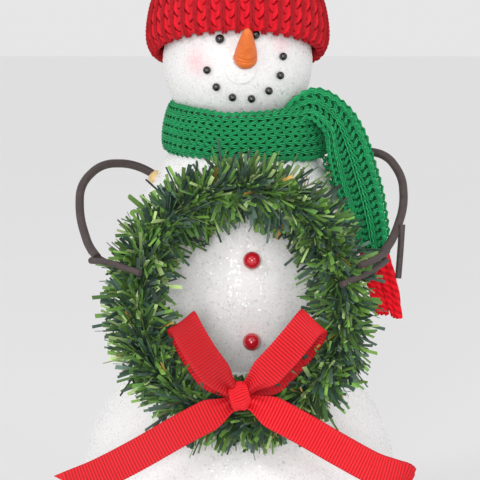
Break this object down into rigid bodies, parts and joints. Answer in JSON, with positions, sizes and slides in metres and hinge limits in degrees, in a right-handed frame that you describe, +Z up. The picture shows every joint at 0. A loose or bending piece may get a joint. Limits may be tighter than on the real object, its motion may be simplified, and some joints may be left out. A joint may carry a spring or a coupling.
{
  "type": "snowman figure",
  "caption": "Standing snowman figure of stacked turned balls with a glitter coat, knitted hat and scarf, wire arms and a needle wreath with a ribbon bow.",
  "frame": {"origin": "centre of the figure's flat underside", "axes": "+Z up, the figure looks along -Y, its left arm as seen from the front is at -X"},
  "size_m": [0.1091, 0.1232, 0.2289],
  "materials": {
    "glitter_body": "white paint under clear glitter",
    "dowel_wood": "bare",
    "black_bead": "gloss",
    "red_bead": "gloss",
    "pin_steel": "bright",
    "carrot_clay": "satin",
    "set_glue": "clear amber gloss",
    "twig_wire": "matt, fine grain",
    "green_knit": "knitted yarn",
    "red_yarn": "thick yarn",
    "red_knit": "ribbed knit",
    "wreath_wire": "green twisted wire",
    "needle_film": "cut film, mixed greens",
    "red_ribbon": "ribbed ribbon"
  },
  "bodies": {
    "figure": {"base_ball": "glitter_body", "torso_ball": "glitter_body", "head_ball": "glitter_body", "waist_dowel": "dowel_wood", "neck_dowel": "dowel_wood", "left_eye": "black_bead", "right_eye": "black_bead", "mouth_beads": "black_bead", "bead_pins": "pin_steel", "carrot_nose": "carrot_clay", "nose_glue": "set_glue", "upper_button": "red_bead", "lower_button": "red_bead", "left_arm": "twig_wire", "right_arm": "twig_wire", "left_front_finger": "twig_wire", "left_back_finger": "twig_wire", "right_front_finger": "twig_wire", "right_top_finger": "twig_wire", "right_thumb": "twig_wire", "right_arm_twig": "twig_wire", "left_shoulder_glue": "set_glue", "right_shoulder_glue": "set_glue", "scarf_wrap": "green_knit", "scarf_knot": "green_knit", "scarf_front_tail": "green_knit", "scarf_back_tail": "green_knit", "front_fringe": "red_yarn", "back_fringe": "red_yarn"},
    "hat": {"hat_crown": "red_knit", "hat_cuff": "red_knit"},
    "wreath": {"wreath_wire": "wreath_wire", "wreath_needles": "needle_film", "bow_knot": "red_ribbon", "bow_left_loop": "red_ribbon", "bow_right_loop": "red_ribbon", "bow_left_tail": "red_ribbon", "bow_right_tail": "red_ribbon"}
  },
  "joints": [
    {"name": "hat_lift", "type": "slide", "parent": "figure", "child": "hat", "axis": [0, 0.2672, 0.9636], "range_m": [0, 0.06]},
    {"name": "wreath_swing", "type": "hinge", "parent": "figure", "child": "wreath", "pos_m": [0, -0.0466, 0.1255], "axis": [-1, 0, 0], "range_deg": [0, 5]}
  ]
}
